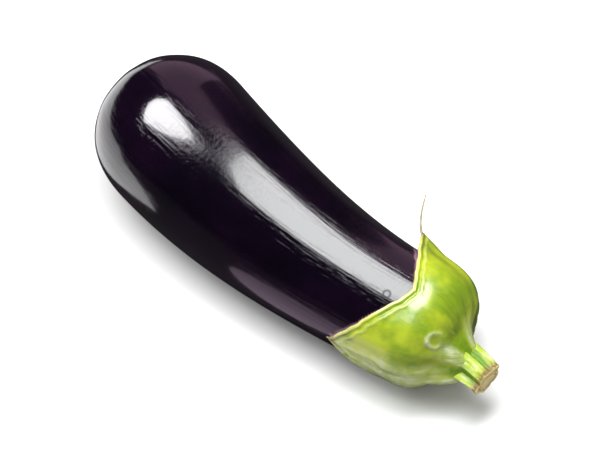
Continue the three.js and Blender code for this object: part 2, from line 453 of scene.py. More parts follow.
@dataclass(frozen=True)
class CapForm:
    """The cap's shape over the fruit's shoulder, in millimetres and degrees."""

    form: Form
    clearance: float = 0.35
    wall: float = 1.8
    crown_wall: float = 2.6
    stem_across: float = -6.0
    stem_up: float = -2.4
    collar_rise: float = 1.5
    collar_radius: float = 7.6
    collar_spread: float = 7.5
    fillet_rise: float = 3.5
    fillet_width: float = 6.5
    flutes: int = 5
    flute_height: float = 0.55
    flute_start: float = 12.0
    notch_reach: float = 33.7
    notch_round: float = 0.06
    lift_root: float = 8.0
    lobe_power: float = 1.04
    lobes: tuple[Lobe, ...] = (
        Lobe(-8, 55, 92, reach=17, lift=5.5, thread=9, curl=9, sway=1.5),
        Lobe(92, 121, 150, reach=15, lift=1.6, thread=4, curl=2, sway=-1),
        Lobe(150, 178, 205, reach=13, lift=0.1, thread=2, curl=0),
        Lobe(205, 272, 352, reach=24.6, lift=1.0, thread=1.2, curl=0.3, sway=0.2),
    )

    def skin_line(self) -> dict[str, Array]:
        """Walks along the skin from the middle of the shoulder to beyond the cap.

        Returns:
            For many points in turn: the distance walked, the station, the radius and the outward
            direction's parts along and away from the middle line.
        """
        station = self.form.stations(np.linspace(1.0, 0.5, 4001))
        radius = self.form.radius(station)
        step = np.hypot(np.diff(station), np.diff(radius))
        walked = np.concatenate([[0.0], np.cumsum(step)])
        return {
            "walked": walked,
            "station": station,
            "radius": radius,
            "out_station": np.gradient(radius, walked),
            "out_radius": -np.gradient(station, walked),
        }

    def degrees(self, angle: Array) -> Array:
        """Returns angles in degrees, counted on from where the first lobe starts."""
        first = self.lobes[0].start
        return (np.degrees(angle) - first) % 360.0 + first

    def per_lobe(self, angle: Array, name: str) -> Array:
        """Returns one of the lobes' sizes for the lobe that each angle lies in."""
        degrees = self.degrees(angle)
        inside = [(degrees >= lobe.start) & (degrees < lobe.end) for lobe in self.lobes]
        return np.select(inside, [getattr(lobe, name) for lobe in self.lobes])

    def away(self, angle: Array) -> Array:
        """Returns how far each angle is from its lobe's tip: 0 there and 1 at either notch."""
        degrees = self.degrees(angle)
        tip = self.per_lobe(angle, "tip")
        before = (tip - degrees) / (tip - self.per_lobe(angle, "start"))
        after = (degrees - tip) / (self.per_lobe(angle, "end") - tip)
        return np.where(degrees < tip, before, after)

    def reach(self, angle: Array) -> Array:
        """Gives the length of the cap along the skin, from the middle of the shoulder to its edge.

        It is the notches' reach plus the lobe's own times c^p, where c is how near the tip is; a
        square root of c^2 + r^2 in c's place rounds the bottom of each notch. Small waves make
        the edge uneven.

        Args:
            angle: Angle round the fruit, in radians.

        Returns:
            The length, in millimetres.
        """
        near = np.hypot(1.0 - self.away(angle), self.notch_round)
        lobe = self.per_lobe(angle, "reach") * np.minimum(near, 1.0) ** self.lobe_power
        uneven = Ripples(seed=5, count=9, lowest=9, highest=41, height=0.16, turns=0.0)
        return self.notch_reach + lobe + uneven.at(np.zeros_like(angle), angle)

    def lift(self, walked: Array, angle: Array) -> Array:
        """Gives how far the cap stands off the skin.

        It grows with the square of the distance past the lobe's root, and is full near the tip's
        own angle and none at the notches.

        Args:
            walked: Distance along the skin from the middle of the shoulder.
            angle: Angle round the fruit, in radians.

        Returns:
            The height off the skin, in millimetres.
        """
        root = self.notch_reach - self.lift_root
        along = np.maximum(0.0, walked - root) / (self.per_lobe(angle, "reach") + self.lift_root)
        return self.per_lobe(angle, "lift") * along**2 * fade(1.6 * (1.0 - self.away(angle)))

    def thickness(self, walked: Array, angle: Array) -> Array:
        """Returns the wall: thick on the crown, thinner to the edge and more so at a lobe's tip."""
        crown = blend(self.crown_wall, self.wall, fade(2.0 * walked / self.notch_reach))
        lobe = self.per_lobe(angle, "reach") + self.per_lobe(angle, "thread")
        past = np.clip((walked - self.notch_reach) / lobe, 0.0, 1.0)
        return crown * blend(1.0, 0.35, past)

    def flute(self, turn: Array) -> Array:
        """Returns the wave of the stem's ridges round it, from -1 in a groove to 1 on a ridge."""
        return np.cos(self.flutes * (turn + math.radians(self.flute_start)))

    def round_stem(self, walked: Array, angle: Array) -> tuple[Array, Array]:
        """Finds where points of the crown lie round the stem, which grows off the crown's middle.

        Args:
            walked: Distance along the skin from the middle of the shoulder.
            angle: Angle round the fruit.

        Returns:
            The distance from the stem's own middle, and the angle round it.
        """
        round_line = angle + math.radians(self.form.bend_tilt)
        across = walked * np.sin(round_line) - self.stem_across
        up = walked * np.cos(round_line) - self.stem_up
        return np.hypot(across, up), np.arctan2(across, up)

    def collar(self, walked: Array, angle: Array) -> Array:
        """Returns how far the crown is drawn up to the foot of the stem: 1 there, 0 well away."""
        distance, turn = self.round_stem(walked, angle)
        edge = self.collar_radius + self.flute_height * self.flute(turn)
        return 1.0 - fade((distance - edge) / self.collar_spread)

    def fillet(self, walked: Array, angle: Array) -> Array:
        """Gives how far the crown climbs the stem: rise * (1 - x)^2.5, x growing away from it.

        Args:
            walked: Distance along the skin from the middle of the shoulder.
            angle: Angle round the fruit.

        Returns:
            The climb, in millimetres.
        """
        distance, turn = self.round_stem(walked, angle)
        edge = self.collar_radius - 0.6 + self.flute_height * self.flute(turn)
        away = np.clip((distance - edge) / self.fillet_width, 0.0, 1.0)
        return self.fillet_rise * (1.0 - away) ** 2.5

    def stem_foot(self) -> float:
        """Returns the station of the level crown that the stem stands on."""
        return self.form.length + self.clearance + self.crown_wall + self.collar_rise


@dataclass(frozen=True)
class Fruit:
    """The swollen fruit: a glossy skin with faint ripples, a flat spot and a small blossom scar."""

    form: Form
    cap: CapForm
    columns: int = 320
    rings: int = 250
    scar_radius: float = 2.6
    scar_depth: float = 1.1
    pale_width: float = 1.3
    ripples: Ripples = Ripples(seed=11, count=14, lowest=3, highest=15, height=0.085, turns=0.8)

    def grid(self) -> Grid:
        """Works out the skin.

        Its radius is the form's, times the out-of-round factor, plus the ripples. The blossom end
        is pushed in by a bell round the pole, and the underside is pressed level with the table.

        Returns:
            The surface with its marks.
        """
        form = self.form
        share = 1.0 - np.arange(1, self.rings + 1)[:, None] / (self.rings + 1)
        station, angle = form.stations(share), round_angles(self.columns)
        radius = form.radius(station)
        calm = fade(radius / form.neck_radius)
        waves = self.ripples.at(station / form.length, angle) * calm
        near_scar = bell(radius, self.scar_radius) * (station < form.length / 2.0)
        out = radius * form.out_of_round(station, angle) + waves
        points = form.place(station + self.scar_depth * near_scar, out, angle)
        ends = [np.float64(form.length), np.float64(self.scar_depth)]
        poles = [form.place(end, np.float64(0.0), np.float64(0.0)) for end in ends]
        points = form.pressed(points)
        marks = {
            Mark.FLOW: flow(angle, form.neck_radius, station),
            Mark.SCAR_AND_HIGHLIGHT: np.broadcast_to(bell(radius, self.scar_radius) ** 2, out.shape)
            * (station < form.length / 2.0),
            Mark.PALE: self.pale(station, angle),
        }
        return Grid(points, poles[0], poles[1], marks)

    def pale(self, station: Array, angle: Array) -> Array:
        """Marks the skin that the cap kept from the light: all under it, fading just outside.

        Args:
            station: Distance along the fruit.
            angle: Angle round it.

        Returns:
            1 under the cap, falling to 0 a little way past its edge.
        """
        line = self.cap.skin_line()
        walked = np.interp(-station, -line["station"], line["walked"], left=0.0)
        past = walked - self.cap.reach(angle)
        return 1.0 - fade(past / self.pale_width)

    def build(self, material: bpy.types.Material) -> None:
        """Adds the fruit, dressed in its finish."""
        add_piece("fruit_skin", self.grid(), material, stands_for="fruit")


@dataclass(frozen=True)
class Cap:
    """The green cap: a thick leathery cup with pointed lobes, a raised pale rim and dry tips."""

    cap: CapForm
    columns: int = 600
    outer_rings: int = 96
    rim_rings: int = 7
    inner_rings: int = 22
    rim_height: float = 0.34
    rim_width: float = 0.9
    groove_inset: float = 1.7
    groove_depth: float = 0.272
    groove_width: float = 0.6
    hem_inset: float = 2.9
    hem_height: float = 0.238
    hem_width: float = 0.7
    flute_height: float = 0.7
    flute_out: float = 3.0
    flute_spread: float = 6.5
    rib_height: float = 0.55
    rib_width: float = 2.4
    rib_start: float = 14.0
    pleats: int = 17
    pleat_height: float = 0.14
    pleat_walked: float = 17.0
    pleat_width: float = 7.0
    swell_height: float = 1.4
    swell_angle: float = 80.0
    swell_walked: float = 17.0
    swell_width: float = 8.0
    bloom_angle: float = 243.0
    bloom_edge: float = 0.68
    bloom_fade: float = 0.26
    scar_angle: float = -41.0
    scar_walked: float = 19.3
    scar_radius: float = 3.1
    scar_turn: float = 0.6
    scar_line: float = 0.8
    scar_height: float = 0.9
    scar_dip: float = 0.4
    thread_root: float = 0.6
    thread_end: float = 0.3
    ripples: Ripples = Ripples(seed=23, count=12, lowest=4, highest=19, height=0.16, turns=0.7)

    def edge_gap(self, walked: Array, angle: Array) -> Array:
        """Gives the distance to the cap's edge, square to the edge rather than along the skin.

        It is the distance along the skin times the cosine of the edge's slant, whose tangent is
        the change of reach per millimetre round the fruit.

        Args:
            walked: Distance along the skin from the middle of the shoulder.
            angle: Angle round the fruit.

        Returns:
            The gap, in millimetres.
        """
        reach = self.cap.reach(angle)
        step = 2.0 * np.pi / self.columns * self.cap.form.neck_radius
        slant = (np.roll(reach, -1, axis=1) - np.roll(reach, 1, axis=1)) / (2.0 * step)
        return (reach - walked) / np.sqrt(1.0 + slant**2)

    def relief(self, walked: Array, angle: Array) -> Array:
        """Adds up the small shapes on the outside, in millimetres.

        They are a raised rim with a groove inside it, a rib up the middle of each lobe, faint
        pleats that spread from the collar, a swelling on one shoulder, ripples and the ring of an
        old bud scar.

        Args:
            walked: Distance along the skin from the middle of the shoulder.
            angle: Angle round the fruit.

        Returns:
            The height to add to the wall.
        """
        cap = self.cap
        gap = self.edge_gap(walked, angle)
        rim = self.rim_height * bell(gap - 0.5 * self.rim_width, self.rim_width)
        groove = -self.groove_depth * bell(gap - self.groove_inset, self.groove_width)
        hem = self.hem_height * bell(gap - self.hem_inset, self.hem_width)
        from_tip = cap.degrees(angle) - cap.per_lobe(angle, "tip")
        across = np.radians(from_tip) * cap.form.neck_radius
        run = fade((walked - self.rib_start) / 10.0) * fade(gap / 4.0)
        rib = self.rib_height * bell(across, self.rib_width) * run
        pleat = self.pleat_height * bell(walked - self.pleat_walked, self.pleat_width)
        pleats = pleat * np.cos(self.pleats * angle + 1.9 * np.sin(3.0 * angle))
        waves = self.ripples.at(walked / 40.0, angle) * fade((walked - 8.0) / 10.0) * fade(gap / 3.0)
        ring, spot = self.bud_scar(walked, angle)
        distance, turn = cap.round_stem(walked, angle)
        out = distance - cap.collar_radius - self.flute_out
        flutes = self.flute_height * cap.flute(turn) * bell(out, self.flute_spread)
        side = (1.0 + np.cos(angle - math.radians(self.swell_angle))) / 2.0
        swell = self.swell_height * side**2 * bell(walked - self.swell_walked, self.swell_width)
        small = waves + flutes + self.scar_height * ring - self.scar_dip * spot
        return rim + groove + hem + rib + pleats + swell + small

    def bud_scar(self, walked: Array, angle: Array) -> tuple[Array, Array]:
        """Works out the mark where a side bud dropped off.

        Args:
            walked: Distance along the skin from the middle of the shoulder.
            angle: Angle round the fruit.

        Returns:
            A broken ring and the spot inside it, each from 0 to 1.
        """
        turn = (angle - math.radians(self.scar_angle) + np.pi) % (2.0 * np.pi) - np.pi
        across = turn * np.minimum(walked, self.cap.form.neck_radius)
        out = walked - self.scar_walked
        apart = np.hypot(out, across)
        way = np.arctan2(across, out)
        unbroken = 0.5 + 0.42 * np.cos(way + self.scar_turn) + 0.16 * np.cos(3.0 * way + 1.0)
        ring = unbroken * bell(apart - self.scar_radius, self.scar_line)
        return ring, bell(apart, 2.0 * self.scar_line)

    def grid(self) -> Grid:
        """Works out the cap as a closed shell.

        Its outside runs from the middle of the crown to the edge, half a circle turns round the
        edge, and the inside runs back. A point stands off the skin by the clearance, the lift and,
        outside, the wall and the relief, and the collar draws the crown up to the stem's foot.

        Returns:
            The surface with its marks.
        """
        cap, form = self.cap, self.cap.form
        angle = round_angles(self.columns)
        reach = cap.reach(angle)
        out = 1.0 - (1.0 - np.arange(1, self.outer_rings + 1)[:, None] / self.outer_rings) ** 1.5
        back = 1.0 - np.arange(1, self.inner_rings + 1)[:, None] / (self.inner_rings + 1)
        turn = np.arange(1, self.rim_rings + 1)[:, None] * np.pi / (self.rim_rings + 1)
        edge_wall = cap.thickness(reach, angle) + self.relief(reach, angle)
        walked = np.concatenate(
            [out * reach, reach + 0.4 * edge_wall * np.sin(turn), back * reach]
        )
        outer = cap.thickness(out * reach, angle) + self.relief(out * reach, angle)
        rim = edge_wall * (1.0 + np.cos(turn)) / 2.0
        wall = np.concatenate([outer, rim, np.zeros_like(back * reach)])
        off = cap.clearance + cap.lift(walked, angle) + wall
        drawn = np.zeros_like(walked)
        drawn[: self.outer_rings] = cap.collar(out * reach, angle)
        climb = np.zeros_like(walked)
        climb[: self.outer_rings] = cap.fillet(out * reach, angle)
        points = self.stand_off(walked, off, angle, drawn, climb)
        poles = [
            form.place(np.float64(station), np.float64(0.0), np.float64(0.0))
            for station in (cap.stem_foot() + cap.fillet_rise, form.length + cap.clearance)
        ]
        return Grid(form.pressed(points), poles[0], poles[1], self.marks(walked, angle))

    def stand_off(
        self,
        walked: Array,
        off: Array,
        angle: Array,
        drawn: Array = 0.0,
        climb: Array = 0.0,
    ) -> Array:
        """Places points a distance along the skin and a distance off it.

        Args:
            walked: Distance along the skin from the middle of the shoulder.
            off: Distance off the skin, along its outward direction.
            angle: Angle round the fruit.
            drawn: Share by which each point is drawn up to the level of the stem's foot.
            climb: Distance that it then climbs up the stem.

        Returns:
            The points.
        """
        form, line = self.cap.form, self.cap.skin_line()
        at = {name: np.interp(walked, line["walked"], line[name]) for name in line}
        radius = at["radius"] * form.out_of_round(at["station"], angle)
        station = at["station"] + off * at["out_station"]
        station = blend(station, self.cap.stem_foot(), drawn) + climb
        return form.place(station, radius + off * at["out_radius"], angle)

    def marks(self, walked: Array, angle: Array) -> dict[Mark, Array]:
        """Marks the rim, the dry tips, the pale bloom, the painted highlight on the collar's ridges
        and the bud scar's ring, the painted shade in the collar's grooves and the inside.

        Args:
            walked: Distance along the skin from the middle of the shoulder.
            angle: Angle round the fruit.

        Returns:
            A value from 0 to 1 for each point and each mark.
        """
        cap = self.cap
        gap = self.edge_gap(walked, angle)
        past = walked - cap.notch_reach
        tip = past / cap.per_lobe(angle, "reach")
        inside = np.zeros_like(walked)
        inside[self.outer_rings + self.rim_rings // 2 :] = 1.0
        below = np.cos(angle - math.radians(self.bloom_angle)) - self.bloom_edge
        distance, turn = cap.round_stem(walked, angle)
        flute = cap.flute(turn)
        bloom = fade(below / self.bloom_fade) * fade((walked - 12.0) / 10.0)
        # Painted highlight: the collar's ridges are made pale with the bloom colour.
        ridge = fade(flute + 0.3) * bell(distance - cap.collar_radius - 2.0, 5.5)
        return {
            Mark.FLOW: flow(angle, cap.form.neck_radius, walked),
            Mark.RIM: 0.95 * (1.0 - fade((gap - 0.2) / 0.7)) + 0.4 * bell(gap - self.hem_inset, 0.5),
            # The bud scar's ring is painted pale as a highlight.
            Mark.SCAR_AND_HIGHLIGHT: self.bud_scar(walked, angle)[0],
            Mark.DRY: fade((tip - 0.84) / 0.2),
            Mark.BLOOM_AND_HIGHLIGHT: np.maximum(bloom, ridge),
            Mark.INSIDE: inside,
            # Painted shade in the grooves round the stem's foot.
            Mark.PAINTED_GROOVE_SHADE: fade((0.2 - flute) / 1.2) * bell(distance - cap.collar_radius, 5.0),
        }

    def thread(self, lobe: Lobe) -> Grid:
        """Works out a lobe's dry tip: a thin round thread that thins out and curls away.

        Its middle goes on from the lobe's tip with the square of the distance times the curl, and
        sways sideways as a quarter wave.

        Args:
            lobe: The lobe that it grows from.

        Returns:
            The thread's surface with its marks.
        """
        cap = self.cap
        rings, sides = 40, 12
        share = np.linspace(0.0, 1.0, rings)
        root = cap.notch_reach + lobe.reach - 1.5
        walked = root + (lobe.thread + 1.5) * share
        angle = math.radians(lobe.tip) + lobe.sway * share**2 / cap.form.neck_radius
        lobe_wall = 0.35 * cap.wall
        off = cap.clearance + cap.lift(walked[:, None], angle[:, None])[:, 0]
        middle = self.stand_off(walked, off + 0.5 * lobe_wall + lobe.curl * share**2, angle)
        along = np.gradient(middle, axis=0)
        along /= np.linalg.norm(along, axis=1, keepdims=True)
        across = np.cross(along, [0.0, 1.0, 0.2])
        across /= np.linalg.norm(across, axis=1, keepdims=True)
        other = np.cross(along, across)
        turn = round_angles(sides)[..., None]
        thick = blend(self.thread_root, self.thread_end, share**0.7)[:, None, None]
        ring = across[:, None] * np.cos(turn) + other[:, None] * np.sin(turn)
        points = (middle[:, None] + thick * ring)[::-1]
        dry = np.broadcast_to(blend(0.9, 0.75, share[::-1])[:, None], (rings, sides))
        marks = {
            Mark.FLOW: flow(turn[..., 0], 1.0, share[:, None] * lobe.thread),
            Mark.DRY: dry,
            Mark.RIM: np.full((rings, sides), 0.3),
        }
        return Grid(points, middle[-1], middle[0], marks)

    def build(self, material: bpy.types.Material) -> None:
        """Adds the cap and the dry tips of its lobes, dressed in the cap's finish."""
        add_piece("cap", self.grid(), material, stands_for="calyx")
        for number, lobe in enumerate(self.cap.lobes, start=1):
            add_piece(f"cap_tip_{number}", self.thread(lobe), material)


@dataclass(frozen=True)
class Stem:
    """The short ridged stem, with its end cut across to show the pith."""

    cap: CapForm
    length: float = 13.1
    foot_radius: float = 10.0
    radius: float = 7.5
    cut_radius: float = 7.2
    swing: float = 3.6
    sink: float = 5.0
    flare_share: float = 0.588
    flare_power: float = 2.2
    ridge_height: float = 0.75
    bevel: float = 0.7
    dish: float = 0.7
    slant: float = 0.27
    slant_angle: float = 60.0
    columns: int = 300
    side_rings: int = 90
    face_rings: int = 50
    ripples: Ripples = Ripples(seed=37, count=10, lowest=7, highest=31, height=0.2, turns=0.5)

    def ridges(self, share: Array, angle: Array) -> Array:
        """Returns the height of the ridges: the cap's flutes, half as many again between, ripples."""
        twist = angle + 0.25 * share
        main = self.cap.flute(twist)
        between = 0.4 * np.cos(2.0 * self.cap.flutes * twist + 0.7)
        return self.ridge_height * (main + between) + self.ripples.at(share, angle)

    def side_radius(self, share: Array, angle: Array) -> Array:
        """Gives the stem's radius up its side.

        It falls from the foot to the waist, swells a little to the cut, and carries the ridges,
        which are gentler at the foot.

        Args:
            share: Share of the stem's length.
            angle: Angle round it.

        Returns:
            The radius, in millimetres.
        """
        flare = np.clip(1.0 - share / self.flare_share, 0.0, 1.0) ** self.flare_power
        waist = blend(self.radius, self.foot_radius, flare)
        swell = (self.cut_radius - self.radius) * fade(share * 2.0 - 1.0)
        return waist + swell + self.ridges(share, angle) * blend(0.55, 1.0, fade(share * 2.5))

    def grid(self) -> Grid:
        """Works out the stem as a closed body.

        The cut face comes first, from its middle to its edge: a shallow dish with rings in it. A
        quarter circle turns over the edge, and the side runs down to a foot sunk in the cap.

        Returns:
            The surface with its marks.
        """
        cap, form = self.cap, self.cap.form
        angle = round_angles(self.columns)
        foot = cap.stem_foot()
        face = (np.arange(1, self.face_rings + 1)[:, None] / self.face_rings) ** 0.8
        over = np.linspace(0.0, np.pi / 2.0, 8)[1:, None]
        down = 1.0 - np.arange(1, self.side_rings + 1)[:, None] / self.side_rings
        edge = self.side_radius(np.ones((1, 1)), angle)
        flat = edge - self.bevel
        radius = np.concatenate(
            [face * flat, flat + self.bevel * np.sin(over), self.side_radius(down, angle)]
        )
        sunk = -self.dish * (1.0 - face**2) + self.pith(face, angle)
        lip = self.bevel * (np.cos(over) - 1.0)
        side = (self.length + self.sink) * (down - 1.0) - self.bevel
        shape = (len(lip), self.columns)
        rise = [sunk, np.broadcast_to(lip, shape), np.broadcast_to(side, (len(side), self.columns))]
        rise = np.concatenate(rise)
        cut_slant = self.slant * radius * np.cos(angle - math.radians(self.slant_angle))
        near_cut = fade(1.0 + rise / self.length)
        station = foot + self.length + rise + cut_slant * near_cut
        share = np.clip((station - foot) / self.length, 0.0, 1.1)
        points = form.place(station, radius, angle, self.shift(share), cap.stem_up)
        poles = [
            form.place(np.float64(foot + on), np.float64(0.0), np.float64(0.0), across, cap.stem_up)
            for on, across in (
                (self.length - self.dish + 0.2, self.shift(np.float64(1.0))),
                (-self.sink, self.shift(np.float64(0.0))),
            )
        ]
        return Grid(points, poles[0], poles[1], self.marks(face, over, down, angle))

    def shift(self, share: Array) -> Array:
        """Returns how far the stem's middle is off the fruit's own line, across it."""
        return self.cap.stem_across - self.swing * share**1.5

    def pith(self, face: Array, angle: Array) -> Array:
        """Returns the relief of the cut face: a raised woody ring, a hollow and a rough middle."""
        wood = 0.35 * bell(face - 0.78, 0.09)
        core = 0.2 * bell(face, 0.3)
        rough = 0.09 * np.cos(9.0 * angle + 14.0 * face) * np.cos(23.0 * face + 2.0 * angle)
        return wood + core + rough * fade(face * 3.0)

    def marks(self, face: Array, over: Array, down: Array, angle: Array) -> dict[Mark, Array]:
        """Marks the cut face and its rings, the grooves that are darkened as painted shade, how far up
        the ridges get a painted highlight, and the dry edge of the cut.

        Args:
            face: Share of the radius on each ring of the cut face.
            over: Angle of each ring that turns over the edge.
            down: Share of the length on each ring of the side.
            angle: Angle round the stem.

        Returns:
            A value for each point and each mark.
        """
        level = np.zeros_like(angle)
        cut = np.concatenate([np.ones_like(face), 1.0 - over / over.max(), np.zeros_like(down)])
        ring = np.concatenate([face, np.ones_like(over), np.ones_like(down)])
        up = np.concatenate([np.ones_like(face), np.ones_like(over), down])
        # Painted shade: marks the grooves that are darkened.
        groove = fade((0.35 - self.cap.flute(angle + 0.25 * up)) / 1.3)
        stations = np.concatenate([face * 3.0, 3.0 + over, self.length * (2.0 - down)])
        return {
            Mark.FLOW: flow(angle, self.radius, stations),
            Mark.CUT: cut + level,
            Mark.RING: ring + level,
            Mark.PAINTED_GROOVE_SHADE: groove * (1.0 - cut),
            # How far up the stem the ridges get their painted highlight.
            Mark.BLOOM_AND_HIGHLIGHT: fade((up - 0.35) / 0.35) + level,
            Mark.DRY: bell(up - 1.0, 0.1) * (1.0 - cut) + level,
        }

    def build(self, material: bpy.types.Material) -> None:
        """Adds the stem, dressed in its finish."""
        add_piece("cut_stem", self.grid(), material, stands_for="stem")


# --- Shader nodes --------------------------------------------------------------------------------


class Sheet:
    """A node tree being filled: adds nodes, sets their inputs and links them."""

    def __init__(self, tree: bpy.types.NodeTree) -> None:
        """Starts with an existing tree.

        Args:
            tree: The tree to fill.
        """
        self.tree = tree

    def add(self, kind: str, inputs: dict | None = None, **settings: object) -> bpy.types.Node:
        """Adds a node.

        Args:
            kind: The node's type, such as "ShaderNodeMath".
            inputs: Values or output sockets for its inputs, by name or number.
            settings: The node's own properties.

        Returns:
            The new node.
        """
        node = self.tree.nodes.new(kind)
        for name, value in settings.items():
            setattr(node, name, value)
        return self.fill(node, inputs or {})

    def fill(self, node: bpy.types.Node, inputs: dict) -> bpy.types.Node:
        """Sets a node's inputs, or links them; a colour of three parts gets an alpha of 1.

        Args:
            node: The node.
            inputs: Values or output sockets for its inputs, by name or number.

        Returns:
            The same node.
        """
        for key, value in inputs.items():
            socket = node.inputs[key]
            if isinstance(value, bpy.types.NodeSocket):
                self.tree.links.new(value, socket)
            elif socket.type == "RGBA":
                socket.default_value = (*value, 1.0)[:4]
            else:
                socket.default_value = value
        return node

    def math(self, operation: str, *values: object) -> bpy.types.NodeSocket:
        """Adds a Math node and returns its output."""
        return self.add("ShaderNodeMath", dict(enumerate(values)), operation=operation).outputs[0]

    def vector_math(self, operation: str, *values: object) -> bpy.types.NodeSocket:
        """Adds a Vector Math node and returns its vector output."""
        node = self.add("ShaderNodeVectorMath", dict(enumerate(values)), operation=operation)
        return node.outputs["Vector"]

    def mix(self, share: object, a: object, b: object) -> bpy.types.NodeSocket:
        """Mixes two colours and returns the result, which is a at share 0 and b at share 1."""
        return self.add("ShaderNodeMix", {0: share, 6: a, 7: b}, data_type="RGBA").outputs[2]

    def spread(self, value: object, low: float, high: float) -> bpy.types.NodeSocket:
        """Stretches a value from 0 to 1 to low to high and returns it."""
        return self.add("ShaderNodeMapRange", {0: value, 3: low, 4: high}).outputs[0]

    def mark(self, mark: Mark) -> bpy.types.NodeSocket:
        """Reads one of the piece's marks: a vector for the flow, a number for the others."""
        node = self.add("ShaderNodeAttribute", attribute_name=mark.value)
        return node.outputs["Vector" if mark is Mark.FLOW else "Fac"]

    def group(self, tree: bpy.types.NodeTree, inputs: dict) -> bpy.types.Node:
        """Places a node group with its own values and returns its node."""
        return self.add("ShaderNodeGroup", inputs, node_tree=tree)

    def sharpen(self, noise: bpy.types.NodeSocket, contrast: object) -> bpy.types.NodeSocket:
        """Raises a noise's contrast about one half, holds it in 0 to 1 and returns it."""
        centred = self.math("MULTIPLY", self.math("SUBTRACT", noise, 0.5), contrast)
        return self.add("ShaderNodeClamp", {0: self.math("ADD", centred, 0.5)}).outputs[0]

    def noise(self, size: bpy.types.NodeSocket, **settings: float) -> bpy.types.NodeSocket:
        """Makes noise on the Object coordinates.

        Args:
            size: Size of its patches, in millimetres.
            settings: Values for the texture's other inputs.

        Returns:
            The noise, from 0 to 1.
        """
        where = self.add("ShaderNodeTexCoord").outputs["Object"]
        scale = self.math("DIVIDE", 1.0 / MM, size)
        return self.add("ShaderNodeTexNoise", {"Vector": where, "Scale": scale, **settings}).outputs[0]

    def stains(
        self, tree: bpy.types.NodeTree, colour: bpy.types.NodeSocket, layers: tuple
    ) -> bpy.types.NodeSocket:
        """Lays stains over a colour, one after another.

        Args:
            tree: The stain group.
            colour: The colour under them.
            layers: Each stain's colour, amount, raggedness and the size of its rags in millimetres.

        Returns:
            The stained colour.
        """
        for stain, amount, ragged, size in layers:
            stained = {"Base": colour, "Stain": stain, "Amount": amount}
            colour = self.group(tree, {**stained, "Ragged": ragged, "Size mm": size}).outputs["Color"]
        return colour

    def bump(
        self, height: bpy.types.NodeSocket, strength: float, distance: float
    ) -> bpy.types.NodeSocket:
        """Turns a height into a bumpy normal; the distance is in millimetres."""
        given = {"Strength": strength, "Distance": distance * MM, "Height": height}
        return self.add("ShaderNodeBump", given).outputs[0]


class Effects:
    """Effects that several finishes share, each a node group that is built once."""

    def __init__(self) -> None:
        """Builds the groups."""
        self.streaks = self._streaks()
        self.mottle = self._mottle()
        self.stain = self._stain()

    @staticmethod
    def _group(name: str, inputs: dict[str, tuple[str, object]], outputs: dict[str, str]) -> Sheet:
        """Makes an empty group with named sockets.

        Args:
            name: The group's name.
            inputs: Each input's socket type, without its prefix, and its first value.
            outputs: Each output's socket type.

        Returns:
            The group's sheet.
        """
        tree = bpy.data.node_groups.new(name, "ShaderNodeTree")
        for socket, (kind, value) in inputs.items():
            made = tree.interface.new_socket(socket, in_out="INPUT", socket_type=f"NodeSocket{kind}")
            if value is not None:
                made.default_value = value
        for socket, kind in outputs.items():
            tree.interface.new_socket(socket, in_out="OUTPUT", socket_type=f"NodeSocket{kind}")
        return Sheet(tree)

    def _streaks(self) -> bpy.types.NodeTree:
        """Makes fine streaks that run along a piece: noise on its flow, squeezed across."""
        sheet = self._group(
            "streaks",
            {
                "Flow": ("Vector", None),
                "Across mm": ("Float", 1.0),
                "Along mm": ("Float", 20.0),
                "Contrast": ("Float", 3.0),
            },
            {"Mask": "Float"},
        )
        given = sheet.add("NodeGroupInput").outputs
        size = sheet.add(
            "ShaderNodeCombineXYZ",
            {0: given["Across mm"], 1: given["Across mm"], 2: given["Along mm"]},
        ).outputs[0]
        place = sheet.vector_math("DIVIDE", given["Flow"], size)
        noise = sheet.add(
            "ShaderNodeTexNoise", {"Vector": place, "Scale": 1.0, "Detail": 3.0, "Roughness": 0.6}
        ).outputs["Fac"]
        sheet.add("NodeGroupOutput", {"Mask": sheet.sharpen(noise, given["Contrast"])})
        return sheet.tree

    def _mottle(self) -> bpy.types.NodeTree:
        """Makes soft patches of one size all over a piece: noise on its Object coordinates."""
        sheet = self._group(
            "mottle",
            {"Size mm": ("Float", 20.0), "Contrast": ("Float", 3.0)},
            {"Mask": "Float"},
        )
        given = sheet.add("NodeGroupInput").outputs
        noise = sheet.noise(given["Size mm"], Detail=4.0, Roughness=0.55)
        sheet.add("NodeGroupOutput", {"Mask": sheet.sharpen(noise, given["Contrast"])})
        return sheet.tree

    def _stain(self) -> bpy.types.NodeTree:
        """Lays a second colour over a first by an amount whose edge is made ragged by noise."""
        sheet = self._group(
            "stain",
            {
                "Base": ("Color", None),
                "Stain": ("Color", None),
                "Amount": ("Float", 0.0),
                "Ragged": ("Float", 0.5),
                "Size mm": ("Float", 2.0),
            },
            {"Color": "Color", "Amount": "Float"},
        )
        given = sheet.add("NodeGroupInput").outputs
        noise = sheet.noise(given["Size mm"])
        uneven = sheet.math("MULTIPLY", sheet.math("SUBTRACT", noise, 0.5), given["Ragged"])
        factor = sheet.math("ADD", 1.0, sheet.math("MULTIPLY", uneven, 3.0))
        amount = sheet.add(
            "ShaderNodeClamp", {0: sheet.math("MULTIPLY", given["Amount"], factor)}
        ).outputs[0]
        colour = sheet.mix(amount, given["Base"], given["Stain"])
        sheet.add("NodeGroupOutput", {"Color": colour, "Amount": amount})
        return sheet.tree


def new_material(name: str) -> tuple[bpy.types.Material, Sheet, bpy.types.Node]:
    """Makes an empty material with its shader.

    Args:
        name: The material's name.

    Returns:
        The material, its sheet and its Principled BSDF.
    """
    material = bpy.data.materials.new(name)
    material.use_nodes = True
    material.node_tree.nodes.clear()
    sheet = Sheet(material.node_tree)
    shader = sheet.add("ShaderNodeBsdfPrincipled")
    sheet.add("ShaderNodeOutputMaterial", {"Surface": shader.outputs[0]})
    return material, sheet, shader


